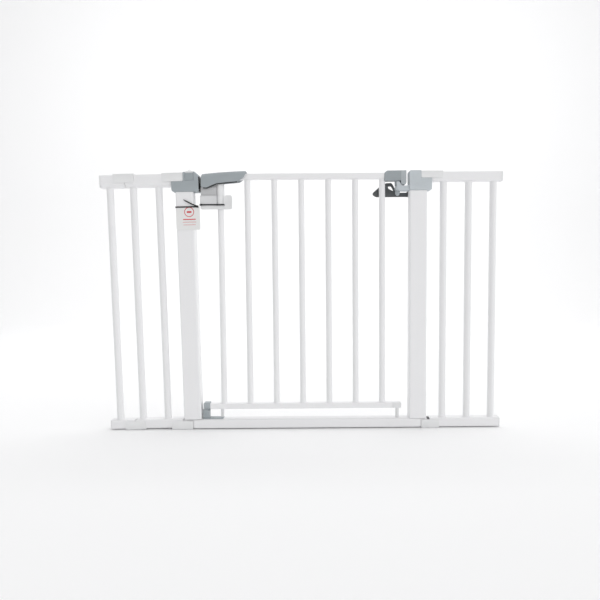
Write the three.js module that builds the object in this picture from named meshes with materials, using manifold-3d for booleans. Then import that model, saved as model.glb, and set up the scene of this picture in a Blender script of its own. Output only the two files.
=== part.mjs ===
// A pressure-fit safety gate: a splayed frame, a barred door on rising hinges, and a lift-to-open latch.
// Millimetres. X runs along the gate, Y to the back, Z up. The floor is z = 0.
import * as THREE from "three";
import { mergeVertices } from "three/addons/utils/BufferGeometryUtils.js";
import Module from "manifold-3d";

const wasm = await Module();
wasm.setup();

// Driving dimensions
const gap = 0.3;
const doorBarPitch = 80;
const doorBarCount = 7;
const doorBarRadius = 9;
const sideBarRadius = 10.2;
const tubeWall = 1.5;
const postWidth = 52;
const postDepth = 36;
const railDepth = 30;
const baseRailHeight = 27;
const rightRailHeight = 28;
const leftRailHeight = 37;
const sideRailTop = 766.5;
const baseRise = 3;
const bracketDepth = 40;
const bracketBottom = 712;
const bracketShoulder = 748;
const latchShoulder = 743;
const bracketTop = 770;
const leftSplay = THREE.MathUtils.degToRad(0.9);

// Places along the gate
const leftPostX = -333.6;
const rightPostX = 345.6;
const thresholdLeft = -361;
const thresholdRight = 374;
const clipLap = { left: -332, right: 356 };
const leftBarXs = { left_outer_bar: -557, left_inner_bar_1: -488, left_inner_bar_2: -412 };
const rightBarXs = [422.5, 497, 570.5];
const leftSeamX = -508;
const leftEndX = -583;
const latchFace = -290.7;
const rightEndX = 594.5;
const capLength = 3;
const hingeX = 286;

// Door rails and the lock, in the same frame
const doorBottomRail = { bottom: 60, top: 77, left: -282, right: 270, depth: 18 };
const doorTopRail = { bottom: 747.5, top: 765.5, left: -250, right: 262, depth: 18 };
const handlePivot = { x: -283, z: 744 };
const drivePinDrop = 15;
const stopperPivot = { x: 334, z: 724 };
const camRise = 16;

const thresholdTop = baseRise + baseRailHeight;
const postTop = bracketBottom - gap;
const leftBaseBottom = baseRise + 3;

// ---- small helpers ----

function weld(geometry) {
  const bare = geometry.clone();
  bare.deleteAttribute("normal");
  bare.deleteAttribute("uv");
  return mergeVertices(bare, 1e-4);
}

function toManifold(geometry) {
  const welded = weld(geometry);
  const vertProperties = new Float32Array(welded.attributes.position.array);
  const triVerts = new Uint32Array(welded.index.array);
  return new wasm.Manifold(new wasm.Mesh({ numProp: 3, vertProperties, triVerts }));
}

function fromManifold(solid) {
  const mesh = solid.getMesh();
  const geometry = new THREE.BufferGeometry();
  geometry.setAttribute("position", new THREE.BufferAttribute(mesh.vertProperties, 3));
  geometry.setIndex(new THREE.BufferAttribute(mesh.triVerts, 1));
  geometry.computeVertexNormals();
  return geometry;
}

function combine(first, operation, others) {
  let solid = toManifold(first);
  for (const other of others) {
    solid = solid[operation](toManifold(other));
  }
  return fromManifold(solid);
}

const cut = (body, ...tools) => combine(body, "subtract", tools);
const join = (body, ...pieces) => combine(body, "add", pieces);

// A block given by its lowest and highest corners.
function block(x0, x1, y0, y1, z0, z1) {
  const geometry = new THREE.BoxGeometry(x1 - x0, y1 - y0, z1 - z0);
  geometry.translate((x0 + x1) / 2, (y0 + y1) / 2, (z0 + z1) / 2);
  return geometry;
}

function roundedRect(width, height, radius) {
  const shape = new THREE.Shape();
  const w = width / 2;
  const h = height / 2;
  shape.moveTo(-w + radius, -h);
  shape.lineTo(w - radius, -h);
  shape.absarc(w - radius, -h + radius, radius, -Math.PI / 2, 0);
  shape.lineTo(w, h - radius);
  shape.absarc(w - radius, h - radius, radius, 0, Math.PI / 2);
  shape.lineTo(-w + radius, h);
  shape.absarc(-w + radius, h - radius, radius, Math.PI / 2, Math.PI);
  shape.lineTo(-w, -h + radius);
  shape.absarc(-w + radius, -h + radius, radius, Math.PI, 1.5 * Math.PI);
  return shape;
}

function extrude(shape, depth, curveSegments = 4) {
  return new THREE.ExtrudeGeometry(shape, { depth, bevelEnabled: false, curveSegments, steps: 1 });
}

// An outline drawn in X and Z, made solid from y0 to y1.
function plateXZ(shape, y0, y1, curveSegments = 6) {
  const geometry = extrude(shape, y1 - y0, curveSegments);
  geometry.rotateX(Math.PI / 2);
  geometry.translate(0, y1, 0);
  return geometry;
}

function outline(points) {
  return new THREE.Shape(points.map(([x, z]) => new THREE.Vector2(x, z)));
}

function cylinderX(radius, x0, x1, y, z, segments = 20) {
  const geometry = new THREE.CylinderGeometry(radius, radius, x1 - x0, segments);
  geometry.rotateZ(Math.PI / 2);
  geometry.translate((x0 + x1) / 2, y, z);
  return geometry;
}

function cylinderY(radius, y0, y1, x, z, segments = 20) {
  const geometry = new THREE.CylinderGeometry(radius, radius, y1 - y0, segments);
  geometry.translate(x, (y0 + y1) / 2, z);
  return geometry;
}

function cylinderZ(radius, z0, z1, x, y, segments = 20) {
  const geometry = new THREE.CylinderGeometry(radius, radius, z1 - z0, segments);
  geometry.rotateX(Math.PI / 2);
  geometry.translate(x, y, (z0 + z1) / 2);
  return geometry;
}

// An open round tube standing from z0 to z1.
function roundTube(radius, x, z0, z1) {
  const shape = new THREE.Shape();
  shape.absarc(0, 0, radius, 0, 2 * Math.PI);
  const hole = new THREE.Path();
  hole.absarc(0, 0, radius - tubeWall, 0, 2 * Math.PI, true);
  shape.holes.push(hole);
  const geometry = extrude(shape, z1 - z0, 24);
  geometry.translate(x, 0, z0);
  return geometry;
}

function squareTubeShape(width, height, radius) {
  const shape = roundedRect(width, height, radius);
  shape.holes.push(roundedRect(width - 2 * tubeWall, height - 2 * tubeWall, radius / 2));
  return shape;
}

// An open square tube standing from z0 to z1.
function postTube(x, z0, z1) {
  const geometry = extrude(squareTubeShape(postWidth, postDepth, 4), z1 - z0);
  geometry.translate(x, 0, z0);
  return geometry;
}

// An open square tube lying along X.
function railTube(x0, x1, depth, z0, z1) {
  const geometry = extrude(squareTubeShape(depth, z1 - z0, 3), x1 - x0);
  geometry.rotateX(Math.PI / 2);
  geometry.rotateZ(Math.PI / 2);
  geometry.translate(x0, 0, (z0 + z1) / 2);
  return geometry;
}

const finishes = {
  white: { color: 0xdedee0, roughness: 0.42, metalness: 0.0 },
  whitePlastic: { color: 0xe2e3e4, roughness: 0.5, metalness: 0.0 },
  greyPlastic: { color: 0x949ca0, roughness: 0.5, metalness: 0.0 },
  palePlastic: { color: 0xaeb5b9, roughness: 0.5, metalness: 0.0 },
  darkPlastic: { color: 0x45494c, roughness: 0.55, metalness: 0.0 },
  steel: { color: 0x9a9da0, roughness: 0.35, metalness: 0.9 },
  blackNylon: { color: 0x151515, roughness: 0.5, metalness: 0.0 },
  card: { color: 0xe4e4e3, roughness: 0.7, metalness: 0.0 },
};

const gate = new THREE.Group();

// The origin sits under the middle of the gate's overall depth.
gate.position.y = -3.7;

// The left post and its extensions lean outward together about the foot of the post.
const leftSide = new THREE.Group();
leftSide.position.set(leftPostX, 0, thresholdTop);
leftSide.rotation.y = -leftSplay;
gate.add(leftSide);

function addPart(name, geometry, finish) {
  const mesh = new THREE.Mesh(weld(geometry), new THREE.MeshStandardMaterial(finishes[finish]));
  mesh.name = name;
  gate.add(mesh);
  return mesh;
}

function addLeftPart(name, geometry, finish) {
  const mesh = addPart(name, geometry, finish);
  mesh.position.set(-leftPostX, 0, -thresholdTop);
  leftSide.add(mesh);
}

// ---- frame: threshold, posts and side panels ----

// The threshold is as deep as the posts, and necked down at its ends where the clips lap over it.
function thresholdBar() {
  const bar = railTube(clipLap.left, clipLap.right, postDepth, baseRise, thresholdTop);
  const leftNeck = railTube(thresholdLeft, clipLap.left + 2, railDepth, baseRise, thresholdTop);
  const rightNeck = railTube(clipLap.right - 2, thresholdRight, railDepth, baseRise, thresholdTop);
  return cut(join(bar, leftNeck, rightNeck), cylinderZ(3.3, thresholdTop - 5, thresholdTop + 1, hingeX, 0));
}

// The top rails of the left panel have a sloping lower front edge.
function leftTopRail(x0, x1) {
  const slope = 7;
  const section = (inset) => {
    const half = railDepth / 2 - inset;
    const top = leftRailHeight / 2 - inset;
    const corner = slope - inset * 0.6;
    return [[-half, top], [-half, corner - top], [corner - half, -top], [half, -top], [half, top]];
  };
  const shape = outline(section(0));
  shape.holes.push(new THREE.Path(outline(section(tubeWall)).getPoints()));
  const rail = extrude(shape, x1 - x0);
  rail.rotateX(Math.PI / 2);
  rail.rotateZ(Math.PI / 2);
  rail.translate(x0, 0, sideRailTop - leftRailHeight / 2);
  return rail;
}

// A shallow channel that clips over two rail ends. It opens downwards, or upwards when it sits below.
function clip(x0, x1, z0, z1, opensDown) {
  const shell = block(x0, x1, -17.6, 17.6, z0, z1);
  const floor = opensDown ? z0 - 1 : z0 + 2.2;
  const roof = opensDown ? z1 - 2.2 : z1 + 1;
  return cut(shell, block(x0 - 1, x1 + 1, -15.3, 15.3, floor, roof));
}

function endCap(x0, x1, z0, z1) {
  const plate = extrude(roundedRect(railDepth, z1 - z0, 3), x1 - x0);
  plate.rotateX(Math.PI / 2);
  plate.rotateZ(Math.PI / 2);
  plate.translate(x0, 0, (z0 + z1) / 2);
  return cut(plate, cylinderX(5.2, x0 - 1, x1 + 1, 0, (z0 + z1) / 2));
}

function addFrame() {
  addPart("threshold_bar", thresholdBar(), "white");
  addPart("right_post", postTube(rightPostX, thresholdTop + gap, postTop), "white");
  addLeftPart("left_post", postTube(leftPostX, thresholdTop + 3 * gap, postTop), "white");
}

function addLeftPanels() {
  const baseTop = leftBaseBottom + baseRailHeight;
  const railBottom = sideRailTop - leftRailHeight;
  const innerTopEnd = -372;
  const innerBaseEnd = thresholdLeft - 1.5;
  const outer = leftEndX + capLength + gap;
  addLeftPart("left_outer_top_rail", leftTopRail(outer, leftSeamX - 0.6), "white");
  addLeftPart("left_inner_top_rail", leftTopRail(leftSeamX + 0.6, innerTopEnd), "white");
  addLeftPart("left_outer_base_rail", railTube(outer, leftSeamX - 0.6, railDepth, leftBaseBottom, baseTop), "white");
  addLeftPart("left_inner_base_rail",
    railTube(leftSeamX + 0.6, innerBaseEnd, railDepth, leftBaseBottom, baseTop), "white");
  for (const [name, x] of Object.entries(leftBarXs)) {
    addLeftPart(name, roundTube(sideBarRadius, x, baseTop + gap, railBottom - gap), "white");
  }
  addLeftPart("left_upper_end_cap", endCap(leftEndX, leftEndX + capLength, railBottom, sideRailTop), "whitePlastic");
  addLeftPart("left_lower_end_cap", endCap(leftEndX, leftEndX + capLength, leftBaseBottom, baseTop), "whitePlastic");
  addLeftPart("left_seam_top_clip", clip(-542, -481, latchShoulder + gap, 769.2, true), "whitePlastic");
  addLeftPart("left_post_top_clip", clip(-398.5, -336, latchShoulder + gap, 769.2, true), "whitePlastic");
  addLeftPart("left_seam_base_clip", clip(-537, -476, leftBaseBottom - 2.6, leftBaseBottom + 23, false),
    "whitePlastic");
  addPart("left_post_base_clip", clip(-396.5, clipLap.left - 1, 0, 26, false), "whitePlastic");
}

function addRightPanel() {
  const railBottom = sideRailTop - rightRailHeight;
  const outer = rightEndX - capLength - gap;
  addPart("right_top_rail", railTube(386, outer, railDepth, railBottom, sideRailTop), "white");
  addPart("right_base_rail", railTube(382, outer, railDepth, baseRise, thresholdTop), "white");
  rightBarXs.forEach((x, i) => {
    addPart(`right_bar_${i + 1}`, roundTube(sideBarRadius, x, thresholdTop + gap, railBottom - gap), "white");
  });
  addPart("right_upper_end_cap", endCap(rightEndX - capLength, rightEndX, railBottom, sideRailTop), "whitePlastic");
  addPart("right_lower_end_cap", endCap(rightEndX - capLength, rightEndX, baseRise, thresholdTop), "whitePlastic");
  addPart("right_post_top_clip", clip(354, 418, bracketShoulder + gap, 769.2, true), "whitePlastic");
  addPart("right_post_base_clip", clip(clipLap.right + 1, 410, 0, 26, false), "whitePlastic");
}

// ---- latch housing on the left post ----

function latchHousing() {
  const half = bracketDepth / 2;
  const lower = block(-370.5, latchFace, -half, half, bracketBottom, latchShoulder);
  const tongue = block(-370.5, -334, -15, 15, latchShoulder - 1, sideRailTop);
  const upperShape = outline([
    [-335.6, latchShoulder - 1], [latchFace, latchShoulder - 1], [latchFace, 760], [latchFace - 10.5, bracketTop],
    [-335.6, bracketTop],
  ]);
  const upper = plateXZ(upperShape, -half, half);
  const boltPocket = block(-322, latchFace + 1, -8, 8, 721, 741);
  const plugSeat = block(-333.1, -302.9, -14, 14, 760, bracketTop + 1);
  return cut(join(lower, tongue, upper), boltPocket, plugSeat);
}

// A pointed plug that closes the top of the latch housing.
function postPlug() {
  const shape = outline([[-332.6, 760.4], [-303.4, 760.4], [-303.4, 769.5], [-306, bracketTop + 1.5],
    [-320.5, 779.5], [-330.5, bracketTop + 1.5], [-332.6, 769.5]]);
  return plateXZ(shape, -13.5, 13.5);
}

function addLatchSide() {
  addLeftPart("latch_housing", latchHousing(), "greyPlastic");
  addLeftPart("latch_housing_plug", postPlug(), "whitePlastic");
}

// ---- hinge bracket on the right post, with the two-way stopper ----

function hingeBracket() {
  const half = bracketDepth / 2;
  const lower = block(318.6, 385, -half, half, bracketBottom, bracketShoulder);
  const upper = block(318.6, 353.6, -half, half, bracketShoulder - 1, bracketTop);
  const tongue = block(353, 385, -15, 15, bracketShoulder - 1, sideRailTop);
  const cradleFloor = block(279, 320, -13, 13, bracketBottom, 725);
  const lipShape = outline([
    [281, 738], [283, 716], [287, bracketBottom], [320, bracketBottom], [320, 731], [313, 725], [297, 725], [289, 738],
  ]);
  const lip = plateXZ(lipShape, -16, -9.7);
  const pinBore = cylinderZ(4.3, bracketBottom - 1, 726, hingeX, 0);
  const pivotBore = cylinderY(3.3, 8, half + 1, stopperPivot.x, stopperPivot.z);
  return cut(join(lower, upper, tongue, cradleFloor, lip), pinBore, pivotBore);
}

// The stopper is a pointed lever behind the door, with a pad that the last bar rests against.
function swingStopper() {
  const lever = outline([
    [213, 709], [217, 702], [224, 697.5], [335, 697.5], [345, 712], [346, 724], [342, 733], [334, 736], [326, 733],
    [321, 724], [318, 710], [292, 710], [284, 716], [276, 732], [271, 739], [256, 739], [236, 729],
  ]);
  const window = new THREE.Path(outline([[259, 729], [270, 729], [279, 713], [262, 722]]).getPoints());
  lever.holes.push(window);
  const pad = block(228, 252, 10.3, 21, 703, 720);
  return cut(join(plateXZ(lever, 20.3, 26.5), pad), cylinderY(3.3, 19, 28, stopperPivot.x, stopperPivot.z));
}

function headedPinY(radius, headRadius, y0, y1, headLength, x, z) {
  return join(cylinderY(radius, y0, y1, x, z), cylinderY(headRadius, y1 - 0.5, y1 + headLength, x, z));
}

function addHingeSide() {
  addPart("hinge_bracket", hingeBracket(), "palePlastic");
  addPart("swing_stopper", swingStopper(), "darkPlastic");
  addPart("stopper_pin", headedPinY(3, 6, 8.4, 27, 2.5, stopperPivot.x, stopperPivot.z), "steel");
}

// ---- hinges ----

// A ring whose upper or lower face climbs round the pin, so the door rises as it opens.
function camRing(inner, outer, flatZ, lowZ, facesUp) {
  const steps = 44;
  const slit = THREE.MathUtils.degToRad(2);
  const positions = [];
  for (let i = 0; i <= steps; i += 1) {
    const turn = i / steps;
    const angle = slit + turn * (2 * Math.PI - 2 * slit);
    const climb = lowZ + turn * camRise;
    for (const [radius, z] of [[inner, flatZ], [outer, flatZ], [outer, climb], [inner, climb]]) {
      positions.push(radius * Math.cos(angle), radius * Math.sin(angle), z);
    }
  }
  const triangles = [];
  const quad = (a, b, c, d) => triangles.push(a, b, c, a, c, d);
  for (let i = 0; i < steps; i += 1) {
    for (let side = 0; side < 4; side += 1) {
      const next = (side + 1) % 4;
      quad(4 * i + side, 4 * i + next, 4 * i + 4 + next, 4 * i + 4 + side);
    }
  }
  quad(3, 2, 1, 0);
  quad(4 * steps, 4 * steps + 1, 4 * steps + 2, 4 * steps + 3);
  if (facesUp) {
    triangles.reverse();
  }
  const geometry = new THREE.BufferGeometry();
  geometry.setAttribute("position", new THREE.Float32BufferAttribute(positions, 3));
  geometry.setIndex(triangles);
  geometry.translate(hingeX, 0, 0);
  return geometry;
}

function upperHingePin() {
  const profile = [[0, 698], [3.5, 698], [7, 704], [7, 711.5], [4, 711.5], [4, 746], [3, 747], [0, 747]];
  const geometry = new THREE.LatheGeometry(profile.map(([r, z]) => new THREE.Vector2(r, z)), 20);
  geometry.rotateX(Math.PI / 2);
  geometry.scale(1, -1, 1);
  return geometry;
}

function flipped(geometry) {
  const welded = weld(geometry);
  const index = welded.index.array;
  welded.setIndex(new THREE.BufferAttribute(index.slice().reverse(), 1));
  return welded;
}

function addHinges() {
  const camLow = thresholdTop + 4;
  addPart("lower_cam_seat", camRing(3.3, 5.2, thresholdTop + gap, camLow, true), "whitePlastic");
  addPart("lower_cam_riser", camRing(3.3, 5.2, doorBottomRail.bottom - gap, camLow + gap, false), "whitePlastic");
  addPart("lower_hinge_pin", cylinderZ(3, thresholdTop - 8, doorBottomRail.top - 5, hingeX, 0), "steel");
  const pin = flipped(upperHingePin());
  pin.translate(hingeX, 0, 0);
  addPart("upper_hinge_pin", pin, "greyPlastic");
}

// ---- door ----

function doorTube(rail) {
  return railTube(rail.left, rail.right, rail.depth, rail.bottom, rail.top);
}

function hingeCap() {
  const bodyShape = outline([[246, 741], [303, 741], [303, 771], [254, 771], [246, 764.5]]);
  const body = plateXZ(bodyShape, -12, 12);
  const tongueShape = new THREE.Shape();
  tongueShape.moveTo(294.3, 771);
  tongueShape.lineTo(294.3, 737);
  tongueShape.absarc(302.55, 737, 8.25, Math.PI, 0, false);
  tongueShape.lineTo(310.8, 771);
  const tongue = plateXZ(tongueShape, -9, 9);
  const boss = cylinderZ(8.5, 726, 745, hingeX, 0);
  const railSeat = block(243, 262.3, -9.3, 9.3, doorTopRail.bottom - gap, doorTopRail.top + gap);
  const pinBore = cylinderZ(4.3, 724, 753, hingeX, 0);
  const lastBarSeat = cylinderZ(doorBarRadius + 0.4, 739, 749, 3 * doorBarPitch, 0);
  return cut(join(body, tongue, boss), railSeat, pinBore, lastBarSeat);
}

function hingeShoe() {
  const half = doorBottomRail.depth / 2;
  const shoe = block(doorBottomRail.right + gap, 297.5, -half, half, doorBottomRail.bottom, doorBottomRail.top);
  return cut(shoe, cylinderZ(3.3, doorBottomRail.bottom - 1, doorBottomRail.top - 2.5, hingeX, 0));
}

function lowerTongue() {
  const sleeve = block(-301.5, doorBottomRail.left - gap, -10, 10, 61, 80);
  const spigot = block(doorBottomRail.left - 1, doorBottomRail.left + 14, -7, 7, 62, 75);
  return join(sleeve, spigot);
}

// The catch guides the foot of the closed door. It is open to the front, the way the door swings.
function lowerCatch() {
  const left = -304;
  const top = thresholdTop + 2.2;
  const base = block(left, -243.5, -10, 14, thresholdTop + gap, top);
  const backWall = block(left, -285.8, 10.6, 14, top - 1, 68);
  const ramp = outline([[left, top - 1], [-285.8, top - 1], [-285.8, 46], [-291, 59.5], [left, 59.5]]);
  const peg = block(-252, -243.5, 3, 12, top - 1, 59.3);
  return join(base, backWall, plateXZ(ramp, -6, 11), peg);
}

function addDoor() {
  const firstX = -doorBarPitch * (doorBarCount - 1) / 2;
  addPart("door_top_rail", doorTube(doorTopRail), "white");
  addPart("door_bottom_rail", doorTube(doorBottomRail), "white");
  for (let i = 0; i < doorBarCount; i += 1) {
    const bar = roundTube(doorBarRadius, firstX + i * doorBarPitch, doorBottomRail.top + gap, doorTopRail.bottom - gap);
    addPart(`door_bar_${i + 1}`, bar, "white");
  }
  addPart("hinge_cap", hingeCap(), "greyPlastic");
  addPart("hinge_shoe", hingeShoe(), "whitePlastic");
  addPart("lower_tongue", lowerTongue(), "greyPlastic");
  addPart("lower_catch", lowerCatch(), "greyPlastic");
}

// ---- lock and handle ----

function barBore(z0, z1) {
  return cylinderZ(doorBarRadius + 0.4, z0, z1, -3 * doorBarPitch, 0, 24);
}

function lockHousing() {
  const body = block(-297, -246, -11.5, 11.5, 702, 726);
  const neckShape = outline([[-296, 725], [-254, 725], [-254, 748], [-289, 748], [-296, 742.5]]);
  const neck = plateXZ(neckShape, -9, 9);
  const sleeve = block(-253, -228.6, -12.2, 12.2, 702, 735);
  const boltChannel = block(-299, -253, -5.4, 5.4, 723.5, 734.5);
  const pinWindow = block(-285.4, -273.5, -13, 13, 726.5, 732.6);
  const pivotBore = cylinderY(3.3, -14, 14, handlePivot.x, handlePivot.z);
  return cut(join(body, neck, sleeve), barBore(700, 740), boltChannel, pinWindow, pivotBore);
}

function slideCasing() {
  const body = block(-299, -246, -14, 14, 671, 701.7);
  const sleeve = block(-247, -228.6, -12.6, 12.6, 671, 701.7);
  const slot = block(-291, -250.5, -12.8, -9.7, 670, 682.5);
  return cut(join(body, sleeve), barBore(669, 704), slot);
}

function safetySlide() {
  const band = block(-298, -206, -13, -9.6, 660.5, 670.6);
  const tab = plateXZ(outline([[-226, 660.5], [-204, 660.5], [-204, 699], [-207, 702], [-223, 702], [-226, 699]]),
    -14, -9.6);
  const rib = block(-290.6, -262, -12.4, -10.1, 670, 682);
  return join(band, tab, rib);
}

function handle() {
  const profile = [
    [-295, 728], [-292, 724.5], [-278, 724], [-264, 731], [-250, 736.5], [-215, 740], [-186, 742], [-171, 752],
    [-161, 769], [-163.5, 773], [-199, 772], [-248, 769.5], [-280, 766.5], [-290, 763], [-294.5, 757],
  ];
  const shell = plateXZ(outline(profile), -16.6, 16.6);
  const innerTop = [[-150, 769.5], [-199, 769], [-248, 766.8], [-280, 763.5], [-288, 760.5], [-291.5, 756]];
  const hollow = plateXZ(outline([[-291.5, 700], [-150, 700], ...innerTop]), -14, 14);
  const pivotBore = cylinderY(3.3, -18, 18, handlePivot.x, handlePivot.z);
  const driveBore = cylinderY(1.8, -18, 18, handlePivot.x, handlePivot.z - drivePinDrop);
  const neckSlot = block(-300, -291, -12, 12, 700, 750.6);
  return cut(shell, hollow, pivotBore, driveBore, neckSlot);
}

function latchBolt() {
  const bar = outline([[-300.4, 727], [-297.6, 724], [-262, 724], [-262, 734], [-300.4, 734]]);
  return cut(plateXZ(bar, -5, 5), block(-285.2, -280.8, -6, 6, 723, 732.4));
}

// A torsion spring on the handle pin, behind the lock housing.
function handleSpring() {
  const turns = 2.5;
  const steps = 40;
  const points = [];
  for (let i = 0; i <= steps; i += 1) {
    const angle = 2 * Math.PI * turns * i / steps;
    points.push(new THREE.Vector3(handlePivot.x + 5 * Math.cos(angle), 9.9 + 3.1 * i / steps,
      handlePivot.z + 5 * Math.sin(angle)));
  }
  const wire = new THREE.Shape();
  wire.absarc(0, 0, 0.5, 0, 2 * Math.PI);
  const path = new THREE.CatmullRomCurve3(points);
  return new THREE.ExtrudeGeometry(wire, { steps: 60, curveSegments: 5, bevelEnabled: false, extrudePath: path });
}

function addLock() {
  const { x, z } = handlePivot;
  addPart("lock_housing", lockHousing(), "whitePlastic");
  addPart("slide_casing", slideCasing(), "whitePlastic");
  addPart("safety_slide", safetySlide(), "whitePlastic");
  addPart("handle", handle(), "greyPlastic");
  addPart("handle_pin", cylinderY(3, -16.4, 16.4, x, z), "steel");
  addPart("drive_pin", cylinderY(1.5, -16.4, 16.4, x, z - drivePinDrop, 12), "steel");
  addPart("latch_bolt", latchBolt(), "darkPlastic");
  addPart("handle_spring", handleSpring(), "steel");
}

// ---- the card on the left post, and the nylon ties ----

function strapRing(x0, x1, y0, y1, z0, height, thickness) {
  const shape = roundedRect(x1 - x0 + 2 * thickness, y1 - y0 + 2 * thickness, 3);
  shape.holes.push(roundedRect(x1 - x0, y1 - y0, 0.5));
  const ring = extrude(shape, height);
  ring.translate((x0 + x1) / 2, (y0 + y1) / 2, z0);
  return ring;
}

function gapCard() {
  const card = roundedRect(70.4, 71.5, 5);
  const plate = plateXZ(card, -19.3, -18.3);
  plate.translate(-324.2, 0, 635.7);
  return cut(plate, block(-307.9, -305.6, -20, -18, 664.4, 670.4));
}

// The post tie passes through the card's slot, and its free end is led over the card to a head at the right edge.
function postTie() {
  const half = postWidth / 2 + gap;
  const ring = strapRing(leftPostX - half, leftPostX + half, -19.6, 18.3, 665.4, 4, 1.1);
  const band = block(-309, -293, -20.7, -19.6, 665.4, 669.4);
  const head = block(-298.5, -292.5, -22.6, -19.6, 664.6, 671);
  const tail = outline([[-297, 668], [-293, 671], [-335.5, 690.5], [-336.8, 687.4]]);
  return join(ring, band, head, plateXZ(tail, -22.1, -20.4));
}

function addCardAndTies() {
  addLeftPart("gap_card", gapCard(), "card");
  addLeftPart("post_tie", postTie(), "blackNylon");
  addPart("door_tie", strapRing(-299.3, -228.3, -14.3, 14.3, 672, 4, 1.1), "blackNylon");
}

addFrame();
addLeftPanels();
addRightPanel();
addLatchSide();
addHingeSide();
addHinges();
addDoor();
addLock();
addCardAndTies();

export default gate;
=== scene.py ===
"""A pressure-fit safety gate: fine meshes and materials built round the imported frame."""
import math

import bmesh
import bpy
from mathutils import Matrix, Vector


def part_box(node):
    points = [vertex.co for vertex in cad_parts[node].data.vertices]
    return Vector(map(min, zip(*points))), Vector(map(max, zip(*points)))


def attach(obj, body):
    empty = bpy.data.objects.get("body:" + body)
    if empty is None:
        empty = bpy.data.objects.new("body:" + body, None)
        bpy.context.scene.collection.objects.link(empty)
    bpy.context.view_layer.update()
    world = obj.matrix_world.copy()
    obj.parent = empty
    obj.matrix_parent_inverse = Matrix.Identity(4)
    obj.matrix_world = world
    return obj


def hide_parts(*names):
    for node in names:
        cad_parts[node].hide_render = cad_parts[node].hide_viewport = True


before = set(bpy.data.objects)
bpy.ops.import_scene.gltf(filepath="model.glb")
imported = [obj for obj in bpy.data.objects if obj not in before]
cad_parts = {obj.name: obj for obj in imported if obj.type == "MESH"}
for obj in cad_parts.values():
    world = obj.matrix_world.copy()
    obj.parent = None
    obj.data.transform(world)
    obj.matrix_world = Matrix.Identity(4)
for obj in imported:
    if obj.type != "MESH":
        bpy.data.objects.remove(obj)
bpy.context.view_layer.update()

MM = 0.001  # metres in a millimetre
CAMERA_DISTANCE = 1.55
CAMERA_HEIGHT = 0.4855
CAMERA_X = 0.050
CAMERA_PITCH = math.radians(3.5)
CAMERA_ROLL = math.radians(-0.42)
CAMERA_LENS = 31.29
CAMERA_SHIFT = (-0.0315, -0.0003)
LEFT_SPLAY = math.radians(0.9)
LEFT_POST_X = -0.3336
MIDDLE_Y = sum(c.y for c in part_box("door_top_rail")) / 2

# These are in millimetres, like all the shapes that block, plate and the lathes make.
HINGE_X = 286
STOPPER_PIVOT = (334, 724)
BAR_RADIUS = 9
BAR_BORE = 9.4
COLLAR_RADIUS = 11.4
COLLAR_BORE = 11.6
UPPER_PIN_BORE = 4.3
LOWER_PIN_BORE = 3.3
RIVET_BORE = 3.3
SPINDLE_HOLE = 5.2
LOCK_EDGE_X = -250
LAST_BAR_X = 240
TIE_WIDTH = 4
TIE_THICKNESS = 1.1


# ---- camera, floor and light ----

def add_camera():
    data = bpy.data.cameras.new("camera")
    data.lens = CAMERA_LENS
    data.shift_x, data.shift_y = CAMERA_SHIFT
    data.clip_start = 0.05
    camera = bpy.data.objects.new("camera", data)
    bpy.context.scene.collection.objects.link(camera)
    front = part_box("right_post")[0].y
    camera.location = (CAMERA_X, front - CAMERA_DISTANCE, CAMERA_HEIGHT)
    turn = Matrix.Rotation(math.pi / 2 - CAMERA_PITCH, 4, "X") @ Matrix.Rotation(CAMERA_ROLL, 4, "Z")
    camera.rotation_euler = turn.to_euler()
    bpy.context.scene.camera = camera


def add_area_light(name, place, target, size, watts):
    data = bpy.data.lights.new(name, "AREA")
    data.shape = "RECTANGLE"
    data.size, data.size_y = size
    data.energy = watts
    light = bpy.data.objects.new(name, data)
    light.location = place
    light.rotation_euler = (Vector(target) - Vector(place)).to_track_quat("-Z", "Y").to_euler()
    bpy.context.scene.collection.objects.link(light)


def add_studio():
    """An even white room, a little brighter to the right, with soft lights over it."""
    world = bpy.data.worlds.new("studio")
    world.use_nodes = True
    nodes, links = world.node_tree.nodes, world.node_tree.links
    split = nodes.new("ShaderNodeSeparateXYZ")
    spread = nodes.new("ShaderNodeMapRange")
    for socket, value in (("From Min", -1.0), ("From Max", 1.0), ("To Min", 0.38), ("To Max", 1.22)):
        spread.inputs[socket].default_value = value
    links.new(nodes.new("ShaderNodeTexCoord").outputs["Generated"], split.inputs["Vector"])
    links.new(split.outputs["X"], spread.inputs["Value"])
    background = nodes["Background"]
    background.inputs["Color"].default_value = (1.0, 1.0, 1.0, 1.0)
    links.new(spread.outputs["Result"], background.inputs["Strength"])
    bpy.context.scene.world = world
    add_area_light("key", (-1.6, -2.4, 2.6), (0, 0, 0.35), (2.4, 1.8), 5)
    add_area_light("fill", (1.8, -2.8, 0.8), (0, 0, 0.4), (1.8, 1.4), 6)
    add_area_light("top", (0.0, 0.4, 3.0), (0, 0, 0.4), (3.0, 2.0), 6)
    add_area_light("backdrop_wash", (0.0, 1.2, 3.2), (0, 3.2, 1.0), (5.0, 1.5), 46)
    bpy.context.scene.view_settings.view_transform = "Standard"


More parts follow.
